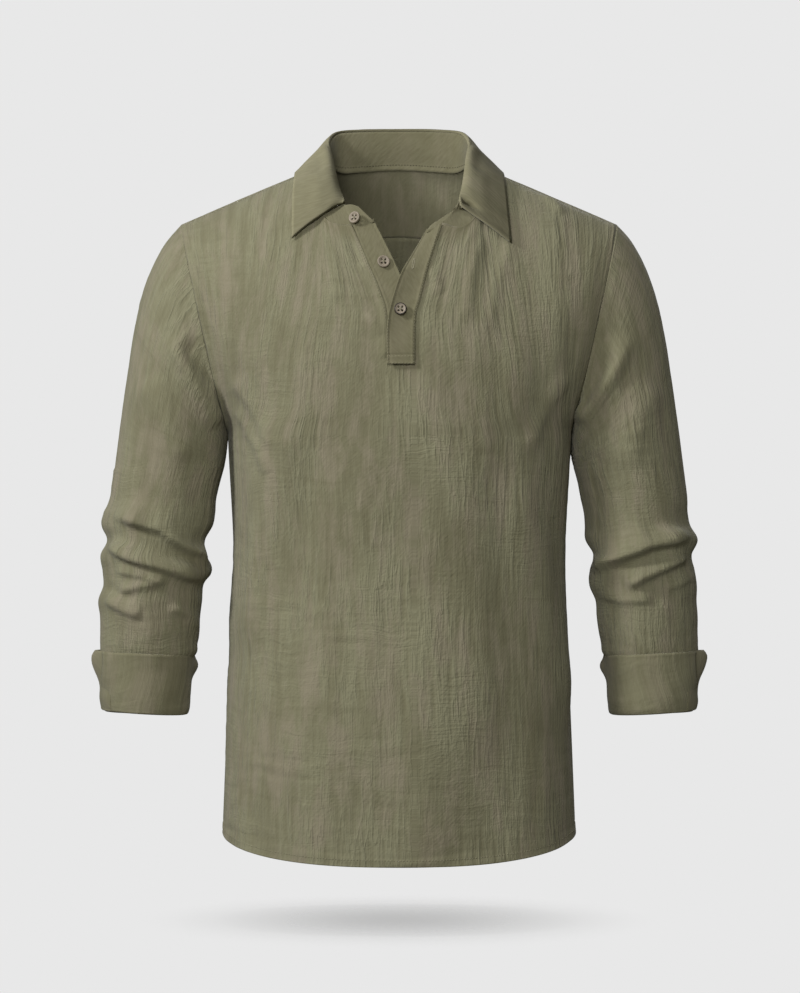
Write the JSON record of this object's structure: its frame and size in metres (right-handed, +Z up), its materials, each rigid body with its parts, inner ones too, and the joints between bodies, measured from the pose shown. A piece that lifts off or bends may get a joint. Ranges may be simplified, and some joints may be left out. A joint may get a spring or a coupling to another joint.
{
  "type": "collared henley shirt",
  "caption": "Long-sleeved pullover shirt in crinkled cotton, worn shape, with a shirt collar, an open half placket with buttons, turned-back cuffs and a curved hem.",
  "frame": {"origin": "middle of the neck base, at the height of the shoulder neck points", "axes": "+Z up, -Y towards the front of the shirt, +X towards the wearer's left"},
  "size_m": [0.637, 0.2503, 0.7669],
  "materials": {
    "cloth": "crinkled matt cotton",
    "button": "satin, horn-like"
  },
  "bodies": {
    "root": {"front": "cloth", "back": "cloth", "yoke": "cloth", "sleeve_right": "cloth", "sleeve_left": "cloth", "cuff_right": "cloth", "cuff_left": "cloth", "collar_stand": "cloth", "collar_leaf": "cloth", "placket_under": "cloth", "placket_over": "cloth", "button_stand": "button", "button_open": "button", "button_fastened": "button"}
  },
  "joints": []
}
